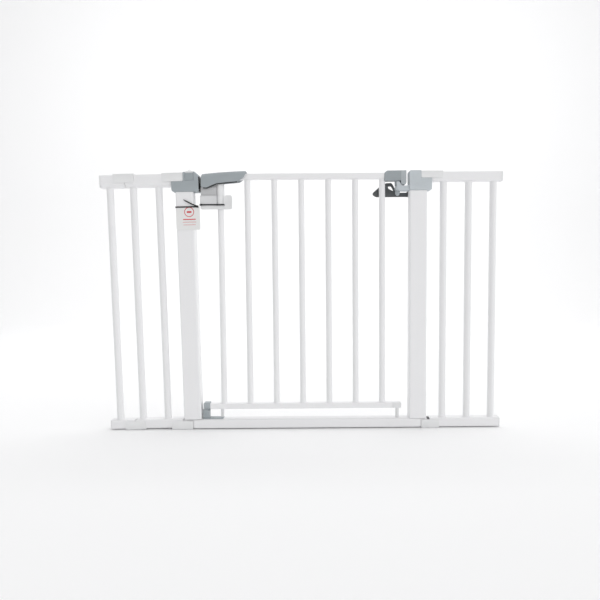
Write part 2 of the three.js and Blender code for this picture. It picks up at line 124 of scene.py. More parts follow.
def add_floor():
    """One pale sheet: level under the gate, then curving up behind it."""
    mesh = bpy.data.meshes.new("floor")
    bm = bmesh.new()
    width, front, back, rise, bend = 9.0, -4.0, 4.0, 5.0, 1.2
    line = [(front, 0.0), (back - bend, 0.0)]
    line += [(back - bend + bend * math.sin(a), bend - bend * math.cos(a))
             for a in (i * math.pi / 24 for i in range(1, 13))]
    line.append((back, rise))
    pairs = [(bm.verts.new((-width, y, z)), bm.verts.new((width, y, z))) for y, z in line]
    for (a, b), (c, d) in zip(pairs, pairs[1:]):
        bm.faces.new((a, b, d, c)).smooth = True
    bm.to_mesh(mesh)
    bm.free()
    floor = bpy.data.objects.new("floor", mesh)
    bpy.context.scene.collection.objects.link(floor)
    floor.data.materials.append(plain_material("floor", (0.95, 0.95, 0.955), 0.9))


# ---- materials ----

def new_material(name, roughness, metallic=0.0):
    material = bpy.data.materials.new(name)
    material.use_nodes = True
    shader = material.node_tree.nodes["Principled BSDF"]
    shader.inputs["Roughness"].default_value = roughness
    shader.inputs["Metallic"].default_value = metallic
    return material, shader


def plain_material(name, colour, roughness):
    material, shader = new_material(name, roughness)
    shader.inputs["Base Color"].default_value = (*colour, 1.0)
    return material


def node(material, kind, inputs=None, **settings):
    made = material.node_tree.nodes.new(kind)
    for key, value in settings.items():
        setattr(made, key, value)
    for key, value in (inputs or {}).items():
        made.inputs[key].default_value = value
    return made


def link(material, source, target):
    material.node_tree.links.new(source, target)


def noise(material, scale, detail=3.0, stretch=None):
    """Noise in the object's own metres, drawn out along an axis where stretch says so."""
    place = node(material, "ShaderNodeTexCoord").outputs["Object"]
    if stretch:
        mapping = node(material, "ShaderNodeMapping")
        mapping.inputs["Scale"].default_value = stretch
        link(material, place, mapping.inputs["Vector"])
        place = mapping.outputs["Vector"]
    texture = node(material, "ShaderNodeTexNoise", {"Scale": scale, "Detail": detail, "Roughness": 0.55})
    link(material, place, texture.inputs["Vector"])
    return texture.outputs["Fac"]


def ramp(material, source, low, high, low_value=0.0, high_value=1.0):
    """Maps source from low..high to two grey levels."""
    made = node(material, "ShaderNodeMapRange",
                {"From Min": low, "From Max": high, "To Min": low_value, "To Max": high_value})
    link(material, source, made.inputs["Value"])
    return made.outputs["Result"]


def mix_colour(material, factor, first, second):
    """Mixes two colours; either may be a socket."""
    mixer = node(material, "ShaderNodeMix", data_type="RGBA")
    link(material, factor, mixer.inputs["Factor"])
    for index, value in ((6, first), (7, second)):
        if isinstance(value, bpy.types.NodeSocket):
            link(material, value, mixer.inputs[index])
        else:
            mixer.inputs[index].default_value = (*value, 1.0)
    return mixer.outputs[2]


def bump(material, shader, layers):
    """Stacks bump layers, each (height socket, strength, distance in metres)."""
    last = None
    for height, strength, distance in layers:
        made = node(material, "ShaderNodeBump", {"Strength": strength, "Distance": distance})
        link(material, height, made.inputs["Height"])
        if last is not None:
            link(material, last, made.inputs["Normal"])
        last = made.outputs["Normal"]
    link(material, last, shader.inputs["Normal"])


def edges(material, low, high):
    """0 on flats and 1 along convex edges."""
    pointiness = node(material, "ShaderNodeNewGeometry").outputs["Pointiness"]
    return ramp(material, pointiness, low, high)


def tint(colour, factor, lift=0.0):
    return tuple(min(1.0, c * factor + lift) for c in colour)


def powder_coat(name, colour):
    """Sprayed and baked paint: faint orange peel, soft mottling and slightly paler convex edges, a painted
    highlight.
    """
    material, shader = new_material(name, 0.4)
    shader.inputs["Specular IOR Level"].default_value = 0.22
    shader.inputs["Coat Weight"].default_value = 0.03
    shader.inputs["Coat Roughness"].default_value = 0.25
    patches = ramp(material, noise(material, 9.0, 4.0), 0.35, 0.65)
    mottled = mix_colour(material, patches, tint(colour, 0.985), colour)
    # painted highlight: convex edges are mixed towards a paler white
    final = mix_colour(material, edges(material, 0.52, 0.62), mottled, tint(colour, 1.02))
    link(material, final, shader.inputs["Base Color"])
    link(material, ramp(material, noise(material, 60.0), 0.3, 0.7, 0.34, 0.46), shader.inputs["Roughness"])
    bump(material, shader, [(noise(material, 420.0, 2.0), 0.08, 0.0003),
                            (noise(material, 55.0, 2.0), 0.012, 0.0005)])
    return material


def moulded(name, colour, roughness, grain=0.16):
    """Moulded plastic: fine spark-eroded grain, slow flow marks and paler convex edges, a painted highlight.
    """
    material, shader = new_material(name, roughness)
    flow = ramp(material, noise(material, 14.0, 5.0, (1.0, 1.0, 2.4)), 0.35, 0.68)
    tinted = mix_colour(material, flow, tint(colour, 0.93), colour)
    # painted highlight: convex edges are mixed towards a paler, lifted colour
    final = mix_colour(material, edges(material, 0.53, 0.66), tinted, tint(colour, 1.10, 0.01))
    link(material, final, shader.inputs["Base Color"])
    grain_height = noise(material, 1500.0, 2.0)
    link(material, ramp(material, noise(material, 90.0), 0.3, 0.7, roughness - 0.06, roughness + 0.07),
         shader.inputs["Roughness"])
    bump(material, shader, [(grain_height, grain, 0.0002), (noise(material, 40.0, 2.0), 0.04, 0.0006)])
    return material


def drawn_steel(name, colour):
    """Zinc-plated wire and pins, brushed along their length."""
    material, shader = new_material(name, 0.32, 1.0)
    streak = noise(material, 260.0, 3.0, (6.0, 0.4, 6.0))
    shade = mix_colour(material, ramp(material, streak, 0.3, 0.7), tint(colour, 0.82), colour)
    link(material, shade, shader.inputs["Base Color"])
    link(material, ramp(material, streak, 0.3, 0.7, 0.25, 0.42), shader.inputs["Roughness"])
    bump(material, shader, [(streak, 0.12, 0.0001)])
    return material


def coated_card(name, colour):
    """Card with a faint fibre and a slight sheen."""
    material, shader = new_material(name, 0.55)
    fibre = noise(material, 700.0, 5.0, (1.0, 1.0, 0.35))
    shade = mix_colour(material, ramp(material, fibre, 0.3, 0.7), tint(colour, 0.96), colour)
    link(material, shade, shader.inputs["Base Color"])
    bump(material, shader, [(fibre, 0.10, 0.0002)])
    return material


WHITE = powder_coat("white_powder_coat", (0.83, 0.83, 0.84))
WHITE_PLASTIC = moulded("white_plastic", (0.78, 0.785, 0.79), 0.46)
# painted shade: white plastic darkened for the handle's shadow, most on the lock block and less on the casing
# below
SHADED_LOCK_WHITE = moulded("lock_white_painted_shade", (0.50, 0.505, 0.515), 0.46)
SHADED_CASING_WHITE = moulded("casing_white_painted_shade", (0.64, 0.645, 0.655), 0.46)
TAB_WHITE = moulded("tab_white_plastic", (0.79, 0.795, 0.80), 0.44)
GREY = moulded("grey_plastic", (0.365, 0.403, 0.425), 0.48)
HANDLE_GREY = moulded("handle_grey_plastic", (0.345, 0.38, 0.40), 0.48)
CAP_GREY = moulded("cap_grey_plastic", (0.335, 0.369, 0.389), 0.48)
PALE_GREY = moulded("pale_grey_plastic", (0.53, 0.572, 0.60), 0.48)
# painted highlight: the cap's grey lightened for the lit front of its rounded nose
LIT_NOSE_GREY = moulded("nose_grey_painted_highlight", (0.42, 0.455, 0.475), 0.48)
PANEL_GREY = moulded("panel_grey_plastic", (0.32, 0.356, 0.375), 0.5)
# dark grey: the bolt's own dark plastic deepened as painted shade, and painted shade on the stopper lever
# behind the top rail
DARK_GREY_AND_SHADE = moulded("dark_plastic", (0.092, 0.10, 0.104), 0.52)
# near-black: painted shade lining the latch pocket, and the handle's dark liner with painted shade under its
# lip
SHADE_AND_LINER_BLACK = moulded("painted_shade_and_liner_black", (0.035, 0.038, 0.04), 0.6)
STEEL = drawn_steel("zinc_steel", (0.62, 0.63, 0.64))
NYLON = moulded("black_nylon", (0.012, 0.012, 0.013), 0.42, 0.1)
CARD = coated_card("card", (0.80, 0.80, 0.795))
PRINT = coated_card("red_print", (0.62, 0.05, 0.06))
FAINT_PRINT = coated_card("faint_red_print", (0.70, 0.30, 0.30))


# ---- mesh building ----

def rounded_rect(width, height, radius, steps=6):
    """Points of a rounded rectangle round the origin, anticlockwise."""
    centres = [(width / 2 - radius, height / 2 - radius, 0), (-width / 2 + radius, height / 2 - radius, 1),
               (-width / 2 + radius, -height / 2 + radius, 2), (width / 2 - radius, -height / 2 + radius, 3)]
    points = []
    for cx, cy, quarter in centres:
        for i in range(steps + 1):
            angle = (quarter + i / steps) * math.pi / 2
            points.append((cx + radius * math.cos(angle), cy + radius * math.sin(angle)))
    return points


def circle(radius, steps=40):
    return [(radius * math.cos(2 * math.pi * i / steps), radius * math.sin(2 * math.pi * i / steps))
            for i in range(steps)]


def solid(loops, closed=False):
    """Joins loops of equal length with quads. The last joins the first if closed, else both are capped."""
    bm = bmesh.new()
    rings = [[bm.verts.new(p) for p in loop] for loop in loops]
    pairs = list(zip(rings, rings[1:]))
    if closed:
        pairs.append((rings[-1], rings[0]))
    for a, b in pairs:
        for i in range(len(a)):
            j = (i + 1) % len(a)
            bm.faces.new((a[i], a[j], b[j], b[i]))
    if not closed:
        bm.faces.new(list(reversed(rings[0])))
        bm.faces.new(rings[-1])
    bmesh.ops.recalc_face_normals(bm, faces=bm.faces)
    return bm


def quarter_turn(steps):
    """Evenly spaced angles from nothing to a right angle."""
    return [k / steps * math.pi / 2 for k in range(steps + 1)]


def along_x(points, x):
    return [(x, a, b) for a, b in points]


def along_z(points, z):
    return [(a, b, z) for a, b in points]


def hollow_bar(section, hole, start, end, along):
    """A tube of any section with slightly softened open ends. section takes an inset."""
    soft = 0.4 * MM
    loops = [along(section(0), start + soft), along(section(soft), start), along(hole, start),
             along(hole, end), along(section(soft), end), along(section(0), end - soft)]
    return solid(loops, closed=True)


def fillet(points, radii, steps=6):
    """Rounds the corners of an outline. radii maps points to their radii, or is one radius for all."""
    rounded = []
    count = len(points)
    for i, point in enumerate(points):
        here = Vector(point)
        radius = radii.get(i, 0.0) if isinstance(radii, dict) else radii
        if radius <= 0:
            rounded.append(tuple(here))
            continue
        back = Vector(points[i - 1]) - here
        ahead = Vector(points[(i + 1) % count]) - here
        half = back.angle(ahead) / 2
        reach = min(radius / math.tan(half), back.length * 0.49, ahead.length * 0.49)
        real = reach * math.tan(half)
        centre = here + (back.normalized() + ahead.normalized()).normalized() * (real / math.sin(half))
        start = here + back.normalized() * reach - centre
        end = here + ahead.normalized() * reach - centre
        sweep = start.angle_signed(end)
        for k in range(steps + 1):
            turn = Matrix.Rotation(-sweep * k / steps, 2)
            rounded.append(tuple(centre + turn @ start))
    return rounded


def inset(points, amount):
    """Moves an anticlockwise outline inwards."""
    moved = []
    count = len(points)
    for i, point in enumerate(points):
        before = (Vector(point) - Vector(points[i - 1])).normalized()
        after = (Vector(points[(i + 1) % count]) - Vector(point)).normalized()
        normal = Vector((-before.y - after.y, before.x + after.x))
        if normal.length < 1e-9:
            normal = Vector((-before.y, before.x))
        normal.normalize()
        scale = 1 / max(0.3, normal.dot(Vector((-before.y, before.x))))
        moved.append(tuple(Vector(point) + normal * amount * scale))
    return moved


def slab_mesh(points, front, back, soft, steps=3):
    """An outline in X and Z made solid between two depths, with its front and back edges rounded."""
    area = sum(a[0] * b[1] - b[0] * a[1] for a, b in zip(points, points[1:] + points[:1]))
    if area < 0:
        points = list(reversed(points))
    angles = quarter_turn(steps)
    loops = []
    for face, inwards, order in ((front, soft, angles), (back, -soft, reversed(angles))):
        for angle in order:
            edge = inset(points, soft * (1 - math.sin(angle)))
            loops.append([(x, face + inwards * (1 - math.cos(angle)), z) for x, z in edge])
    return solid(loops)


def piece(name, bm, body, material, replaces=(), turn=None, sharp=40):
    """Makes a mesh into a named piece that rides on a body and stands for CAD nodes."""
    mesh = bpy.data.meshes.new(name)
    if turn is not None:
        bm.transform(turn)
    bm.to_mesh(mesh)
    bm.free()
    mesh.materials.append(material)
    mesh.polygons.foreach_set("use_smooth", [True] * len(mesh.polygons))
    mesh.set_sharp_from_angle(angle=math.radians(sharp))
    made = bpy.data.objects.new(name, mesh)
    bpy.context.scene.collection.objects.link(made)
    weighted = made.modifiers.new("weighted_normals", "WEIGHTED_NORMAL")
    weighted.keep_sharp = True
    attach(made, body)
    if replaces:
        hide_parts(*replaces)
    return made


# ---- places ----

def left_turn():
    """The left post and its panels lean out together about the foot of the post."""
    foot = Vector((LEFT_POST_X, MIDDLE_Y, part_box("threshold_bar")[1].z))
    return Matrix.Translation(foot) @ Matrix.Rotation(-LEFT_SPLAY, 4, "Y") @ Matrix.Translation(-foot)


LEFT = left_turn()


def node_box(name, turn=None):
    """A node's lowest and highest corners, with its side's lean taken out where it leans."""
    if turn is None:
        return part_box(name)
    back = turn.inverted()
    points = [back @ v.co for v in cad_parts[name].data.vertices]
    low = Vector([min(p[i] for p in points) for i in range(3)])
    high = Vector([max(p[i] for p in points) for i in range(3)])
    return low, high


# ---- bars, rails and posts ----

def bar_mesh(low, high):
    """A round tube with a small weld bead at each end, which just enters the rail it meets."""
    radius = (high.x - low.x) / 2
    wall, entry = 1.5 * MM, 0.4 * MM
    x, y = (low.x + high.x) / 2, (low.y + high.y) / 2
    bottom, top = low.z - entry, high.z + entry
    bead = [(1.3, 0.0), (1.15, 0.7), (0.7, 1.5), (0.25, 2.1), (0.0, 2.8)]
    profile = [(radius + out * MM, bottom + up * MM) for out, up in bead]
    profile += [(radius + out * MM, top - up * MM) for out, up in reversed(bead)]
    profile += [(radius - wall, top), (radius - wall, bottom)]
    loops = [[(x + a, y + b, z) for a, b in circle(r)] for r, z in profile]
    return solid(loops, closed=True)


def box_section(width, height, middle, corner, wall, steps=6):
    """A rounded box section: a function that draws its outside at an inset, and its hole."""
    def shift(points):
        return [(a + middle[0], b + middle[1]) for a, b in points]

    def outside(amount):
        return shift(rounded_rect(width - 2 * amount, height - 2 * amount, corner - amount, steps))

    hole = shift(rounded_rect(width - 2 * wall, height - 2 * wall, corner - wall * 0.8, steps))
    return outside, hole


def rail_mesh(low, high, corner=3.2 * MM):
    middle = (low.y + high.y) / 2, (low.z + high.z) / 2
    section = box_section(high.y - low.y, high.z - low.z, middle, corner, 1.5 * MM)
    return hollow_bar(*section, low.x, high.x, along_x)


def post_mesh(low, high):
    middle = (low.x + high.x) / 2, (low.y + high.y) / 2
    section = box_section(high.x - low.x, high.y - low.y, middle, 4.5 * MM, 1.6 * MM, 8)
    return hollow_bar(*section, low.z, high.z, along_z)


def lipped_rail_mesh(low, high):
    """The left panels' top rail, whose lower front edge slopes back."""
    corner, small_corner, slope = 3.0 * MM, 1.2 * MM, 8.5 * MM
    outline = [(low.y, high.z), (low.y, low.z + slope), (low.y + slope * 0.75, low.z), (high.y, low.z),
               (high.y, high.z)]
    outer = fillet(outline, {0: corner, 1: small_corner, 2: small_corner, 3: corner, 4: corner})

    def outside(amount):
        return inset(outer, amount) if amount else outer

    return hollow_bar(outside, outside(1.5 * MM), low.x, high.x, along_x)


def threshold_mesh(low, high):
    """The floor tube, necked down at both ends to slip inside the base clips."""
    corner, wall, run, soft, neck_depth = 4 * MM, 1.6 * MM, 2.5 * MM, 0.4 * MM, 30 * MM
    middle_y, middle_z = (low.y + high.y) / 2, (low.z + high.z) / 2
    full_depth, height = high.y - low.y, high.z - low.z
    left_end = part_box("left_post_base_clip")[1].x + 1 * MM
    right_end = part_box("right_post_base_clip")[0].x - 1 * MM

    def section(x, depth, amount=0.0):
        points = rounded_rect(depth - 2 * amount, height - 2 * amount, corner - amount * 0.8)
        return [(x, middle_y + a, middle_z + b) for a, b in points]

    outside = [section(low.x, neck_depth, soft), section(low.x + soft, neck_depth),
               section(left_end, neck_depth), section(left_end + run, full_depth),
               section(right_end - run, full_depth), section(right_end, neck_depth),
               section(high.x - soft, neck_depth), section(high.x, neck_depth, soft)]
    inside = [section(high.x, neck_depth, wall), section(low.x, neck_depth, wall)]
    return solid(outside + inside, closed=True)


def add_tube(name, make, body, turn=None, **shape):
    """A painted tube that make builds to fill the node it is named after."""
    piece(name + "_tube", make(*node_box(name, turn), **shape), body, WHITE, [name], turn)


def add_bars_and_rails():
    for name in ("left_outer_bar", "left_inner_bar_1", "left_inner_bar_2"):
        add_tube(name, bar_mesh, "frame", LEFT)
    for i in range(1, 4):
        add_tube(f"right_bar_{i}", bar_mesh, "frame")
    for i in range(1, 8):
        add_tube(f"door_bar_{i}", bar_mesh, "door")
    for name in ("left_outer_base_rail", "left_inner_base_rail"):
        add_tube(name, rail_mesh, "frame", LEFT)
    for name in ("left_outer_top_rail", "left_inner_top_rail"):
        add_tube(name, lipped_rail_mesh, "frame", LEFT)
    for name in ("right_top_rail", "right_base_rail"):
        add_tube(name, rail_mesh, "frame")
    for name in ("door_top_rail", "door_bottom_rail"):
        add_tube(name, rail_mesh, "door", corner=2.4 * MM)
    pin_bore = lathe_z([(LOWER_PIN_BORE, 24), (LOWER_PIN_BORE, 34)], HINGE_X, 40)
    threshold = cut(threshold_mesh(*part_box("threshold_bar")), pin_bore)
    piece("threshold_tube", threshold, "frame", WHITE, ["threshold_bar"])
    add_tube("right_post", post_mesh, "frame")
    add_tube("left_post", post_mesh, "frame", LEFT)


# ---- clips and end caps ----

def folded_clip_mesh(low, high, opens_down):
    """A folded channel, drawn as one U section swept along the rail, with its free corners rounded."""
    wall, bend, corner = 2.2 * MM, 3.0 * MM, 4.5 * MM
    middle, half = (low.y + high.y) / 2, (high.y - low.y) / 2
    length, height = high.x - low.x, high.z - low.z

    def arch(inwards, radius, foot):
        """Up one leg of the U, round its two bends and down the other leg."""
        leg = [(-half + inwards, foot)]
        leg += [(-half + inwards + radius * (1 - math.cos(a)), height - inwards - radius * (1 - math.sin(a)))
                for a in quarter_turn(5)]
        return leg + [(-a, b) for a, b in reversed(leg)]

    stations = [(corner * (1 - math.cos(a)), corner * (1 - math.sin(a))) for a in quarter_turn(6)]
    stations += [(length - along, foot) for along, foot in reversed(stations)]
    sections = []
    for along, foot in stations:
        ring = arch(0, bend, foot) + list(reversed(arch(wall, bend - wall, foot)))
        sections.append([(low.x + along, middle + a, low.z + b if opens_down else high.z - b)
                         for a, b in ring])
    return solid(sections)


def add_clips():
    clips = [("left_seam_top_clip", LEFT, True), ("left_post_top_clip", LEFT, True),
             ("left_seam_base_clip", LEFT, False), ("left_post_base_clip", None, False),
             ("right_post_top_clip", None, True), ("right_post_base_clip", None, False)]
    for name, turn, opens_down in clips:
        shell = folded_clip_mesh(*node_box(name, turn), opens_down)
        piece(name + "_shell", shell, "frame", WHITE_PLASTIC, [name], turn)


def end_cap_mesh(low, high, outward):
    """A crowned plug with the hole for a wall spindle."""
    y, z = (low.y + high.y) / 2, (low.z + high.z) / 2
    width, height = high.y - low.y, high.z - low.z
    outer_face, inner_face = (high.x, low.x) if outward > 0 else (low.x, high.x)
    steps = 6

    def rect(amount, x):
        points = rounded_rect(width - 2 * amount, height - 2 * amount, 3.2 * MM - amount * 0.6, steps)
        return [(x, y + a, z + b) for a, b in points]

    def hole(radius, x):
        """A circle with the rectangle's number of points, in the same order round."""
        count = 4 * (steps + 1)
        angles = [2 * math.pi * (i + 0.5) / count for i in range(count)]
        return [(x, y + radius * math.cos(a), z + radius * math.sin(a)) for a in angles]

    crown = 0.9 * MM
    soft = crown * outward
    bore, mouth = SPINDLE_HOLE * MM, (SPINDLE_HOLE + 0.8) * MM
    loops = [rect(0, inner_face), rect(0, outer_face - soft), rect(0.3 * MM, outer_face - 0.3 * soft),
             rect(crown, outer_face), hole(mouth, outer_face), hole(bore, outer_face - 0.6 * soft),
             hole(bore, inner_face)]
    return solid(loops, closed=True)


def add_end_caps():
    for side, turn, outward in (("left", LEFT, -1), ("right", None, 1)):
        for level in ("upper", "lower"):
            name = f"{side}_{level}_end_cap"
            plug = end_cap_mesh(*node_box(name, turn), outward)
            piece(name + "_plug", plug, "frame", WHITE_PLASTIC, [name], turn)


# ---- shapes in millimetres ----

def boolean(bm, others, operation):
    """Joins closed meshes to a closed mesh, or cuts them out of it, and gives back the one mesh."""
    def as_object(source):
        mesh = bpy.data.meshes.new("working")
        source.to_mesh(mesh)
        source.free()
        made = bpy.data.objects.new("working", mesh)
        bpy.context.scene.collection.objects.link(made)
        return made

    base = as_object(bm)
    for other in others:
        tool = as_object(other)
        modifier = base.modifiers.new("step", "BOOLEAN")
        modifier.operation = operation
        modifier.solver = "EXACT"
        modifier.object = tool
        result = bpy.data.meshes.new_from_object(base.evaluated_get(bpy.context.evaluated_depsgraph_get()))
        base.modifiers.clear()
        base.data = result
        bpy.data.objects.remove(tool)
    whole = bmesh.new()
    whole.from_mesh(base.data)
    bpy.data.objects.remove(base)
    return whole


def cut(bm, *tools):
    return boolean(bm, tools, "DIFFERENCE")


def join(bm, *others):
    return boolean(bm, others, "UNION")


def block(x0, x1, y0, y1, z0, z1, radius=0.0, segments=3):
    """A block in millimetres, with Y measured from the gate's middle plane and edges rounded where asked."""
    low = Vector((x0 * MM, MIDDLE_Y + y0 * MM, z0 * MM))
    high = Vector((x1 * MM, MIDDLE_Y + y1 * MM, z1 * MM))
    size = high - low
    bm = bmesh.new()
    bmesh.ops.create_cube(bm, size=1.0)
    bmesh.ops.scale(bm, vec=size, verts=bm.verts)
    bmesh.ops.translate(bm, vec=(low + high) / 2, verts=bm.verts)
    if radius > 0:
        bmesh.ops.bevel(bm, geom=bm.edges[:], offset=min(radius * MM, min(size) * 0.49), offset_type="OFFSET",
                        segments=segments, profile=0.5, affect="EDGES", clamp_overlap=True)
    return bm


def oblong(x0, x1, z0, z1):
    """The corners of an upright rectangle, from the lower left round to the upper left."""
    return [(x0, z0), (x1, z0), (x1, z1), (x0, z1)]


def plate(points, radii, y0, y1, soft):
    """An outline in millimetres with rounded corners, made solid in Y with softened edges."""
    real_radii = {i: r * MM for i, r in radii.items()} if isinstance(radii, dict) else radii * MM
    rounded = fillet([(x * MM, z * MM) for x, z in points], real_radii)
    return slab_mesh(rounded, MIDDLE_Y + y0 * MM, MIDDLE_Y + y1 * MM, soft * MM)


def lathe_z(profile, x, steps=48, closed=False):
    """A profile of (radius, z) in millimetres spun round a standing axis in the middle plane."""
    loops = [[(x * MM + a, MIDDLE_Y + b, z * MM) for a, b in circle(r * MM, steps)] for r, z in profile]
    return solid(loops, closed)


def lathe_y(profile, x, z, steps=48, closed=False):
    """A profile of (radius, y) in millimetres spun round an axis that runs front to back."""
    loops = [[(x * MM + a, MIDDLE_Y + y * MM, z * MM + b) for a, b in circle(r * MM, steps)]
             for r, y in profile]
    return solid(loops, closed)


def box_mm(name, turn=None):
    """A node's corners in millimetres, with Y measured from the gate's middle plane."""
    low, high = node_box(name, turn)
    shift = Vector((0, MIDDLE_Y, 0))
    return (Vector(low) - shift) / MM, (Vector(high) - shift) / MM


def moved(points, low):
    """Points measured from a box's lowest corner."""
    return [(low.x + x, low.z + z) for x, z in points]


# ---- latch housing, its strike and its plug ----

def add_latch_housing():
    low, high = box_mm("latch_housing", LEFT)
    width, height = high.x - low.x, high.z - low.z
    shoulder, step = 31, 34.9
    outline = moved([(0, 0), (width, 0), (width, height - 10), (width - 10.5, height), (step, height),
                     (step, shoulder), (0, shoulder)], low)
    body = plate(outline, {0: 8, 1: 2.2, 2: 4.5, 3: 4.5, 4: 2.2, 5: 2.2, 6: 2.2}, low.y, high.y, 1.8)
    tongue = block(low.x + 0.4, low.x + step + 1, -14.8, 14.8, low.z + shoulder - 2, low.z + 54, 1.0)
    body = join(body, tongue)
    face = high.x
    plug_low, plug_high = box_mm("latch_housing_plug", LEFT)
    body = cut(
        body,
        block(plug_low.x - 0.4, plug_high.x + 0.4, -14, 14, low.z + 48, high.z + 2),
        block(plug_low.x + 1.5, plug_high.x - 1.5, low.y - 2, -12, high.z - 3.6, high.z + 2),
        block(plug_low.x + 2.6, plug_high.x - 0.4, low.y - 2, low.y + 1.5, low.z + 32, high.z - 3.4, 0.8),
        block(face - 1.3, face + 2, -17, 17, low.z + 1.8, low.z + 45, 0.6),
        block(face - 32, face + 2, -8, 8, low.z + 9, low.z + 29, 0.8),
    )
    piece("latch_housing_shell", body, "frame", GREY, ["latch_housing"], LEFT)
    panel = block(plug_low.x + 3, plug_high.x - 0.8, low.y + 0.7, low.y + 3, low.z + 32.4, high.z - 3.9, 0.7)
    piece("latch_housing_panel", panel, "frame", PANEL_GREY, (), LEFT)
    # painted shade: a near-black plate and cup line the bolt pocket to stand in for the shade inside it
    pocket_shade = block(face - 1.2, face - 0.25, -16.7, 16.7, low.z + 2.1, low.z + 44.7, 0.4)
    cup = block(face - 31.6, face - 0.4, -7.8, 7.8, low.z + 9.2, low.z + 28.8, 0.6)
    pocket_shade = cut(join(pocket_shade, cup), block(face - 30.4, face + 2, -6.8, 6.8, low.z + 10.2, low.z + 27.8, 0.6))
    piece("latch_pocket_painted_shade", pocket_shade, "frame", SHADE_AND_LINER_BLACK, (), LEFT)


def add_plug():
    """A four-sided point on a square body."""
    low, high = box_mm("latch_housing_plug", LEFT)
    middle_x = (low.x + high.x) / 2
    width, depth = high.x - low.x, high.y - low.y
    apex_x = low.x + 12.3
    # Each level has a height, an inset, and how far it has drawn in towards the point.
    levels = [(low.z, 0.4, 0), (low.z + 0.4, 0, 0), (high.z - 9.6, 0, 0), (high.z - 8.4, 0.5, 0),
              (high.z - 7.8, 1.4, 0), (high.z - 0.7, 1.5, 0.93), (high.z, 1.5, 0.985)]
    loops = []
    for z, amount, towards in levels:
        centre_x = middle_x + (apex_x - middle_x) * towards
        scale = 1 - towards
        loops.append([((centre_x + a * scale) * MM, MIDDLE_Y + b * scale * MM, z * MM)
                      for a, b in rounded_rect(width - 2 * amount, depth - 2 * amount, 2.0, 5)])
    piece("latch_housing_point", solid(loops), "frame", WHITE_PLASTIC,
          ["latch_housing_plug"], LEFT, sharp=25)


# ---- handle ----

LEVER_RADII = [2.5, 3.5, 6, 10, 14, 20, 14, 16, 3, 3, 40, 40, 20, 3.5, 4]


def lever_loop(points, low, y, amount=0.0):
    rounded = fillet([(x * MM, z * MM) for x, z in moved(points, low)],
                     {i: r * MM for i, r in enumerate(LEVER_RADII)}, 5)
    if amount:
        rounded = inset(rounded, amount * MM)
    return [(x, MIDDLE_Y + y * MM, z) for x, z in rounded]


def add_handle():
    """A hollow lever, open below, with sloping bands along its top edges and a near-black strip in each lower
    edge, partly a dark liner and partly painted shade under the lip.
    """
    low = box_mm("handle")[0]
    half = -low.y
    under = [(0, 5), (3, 0.5), (17, 0), (31, 6.5), (45, 12), (80, 15.5), (109, 17.5), (124, 27), (134, 44)]
    over = [(132, 48), (96, 46.8), (47, 44), (16, 41.2), (2.5, 39.6), (0.3, 34)]
    over_low = [(128.5, 42), (96, 41), (47, 38.5), (17, 35.8), (3.5, 34.4), (0.3, 29)]
    wide = under + over
    narrow = under[:8] + [(131, 38.5)] + over_low
    loops = []
    for side in (-1, 1):
        group = [lever_loop(narrow, low, side * half, 0.9),
                 lever_loop(narrow, low, side * (half - 0.25), 0.25),
                 lever_loop(narrow, low, side * (half - 0.9)),
                 lever_loop(wide, low, side * (half - 5.2))]
        loops += group if side < 0 else list(reversed(group))
    lever = solid(loops)

    inner_over = [(140, 45), (96, 45), (47, 42.5), (17, 39.6), (8, 36.6), (3.4, 31)]
    inner_low = [(140, 38), (96, 38), (47, 35.5), (18, 32.8), (10, 30.5), (3.4, 26)]
    base = [(3.4, -12), (140, -12)]

    def hollow_loop(points, y):
        return [(x * MM, MIDDLE_Y + y * MM, z * MM) for x, z in moved(base + points, low)]

    hollow = solid([hollow_loop(inner_low, -13.8), hollow_loop(inner_over, -9.2),
                    hollow_loop(inner_over, 9.2), hollow_loop(inner_low, 13.8)])
    neck_slot = block(low.x - 5, low.x + 4, -12, 12, low.z - 24, low.z + 26.6)
    piece("handle_lever", cut(lever, hollow, neck_slot), "handle", HANDLE_GREY, ["handle"],
          sharp=28)

    # near-black strips inside the lower edges: a dark liner, and painted shade under the lip
    edge = [(5.5, 3), (17.5, 2.5), (31.5, 9), (45.5, 14.5), (80, 18), (108, 20), (106, 14.2), (80, 12.2),
            (46, 8.6), (32, 3), (18, -3.2), (6.5, -2.6)]
    edge_radii = {0: 1, 5: 1, 6: 1, 7: 20, 8: 14, 9: 10, 10: 5, 11: 1.5}
    for name, y0, y1, lift in (("front", 0.5 - half, 2.5 - half, 0), ("back", half - 2.5, half - 0.5, 5)):
        raised = [(x, z + lift) for x, z in edge]
        strip = plate(moved(raised, low), edge_radii, y0, y1, 0.3)
        piece(f"handle_liner_and_shade_{name}", strip, "handle", SHADE_AND_LINER_BLACK)


def add_handle_pins():
    end = 13.6
    for name, radius, body in (("handle_pin", 3.0, "door"), ("drive_pin", 1.5, "handle")):
        low, high = box_mm(name)
        x, z = (low.x + high.x) / 2, (low.z + high.z) / 2
        profile = [(radius * 0.2, -end), (radius * 0.8, -end), (radius, -end + 0.5), (radius, end - 0.5),
                   (radius * 0.8, end), (radius * 0.2, end)]
        piece(f"{name}_shaft", lathe_y(profile, x, z, 32), body, STEEL, [name])


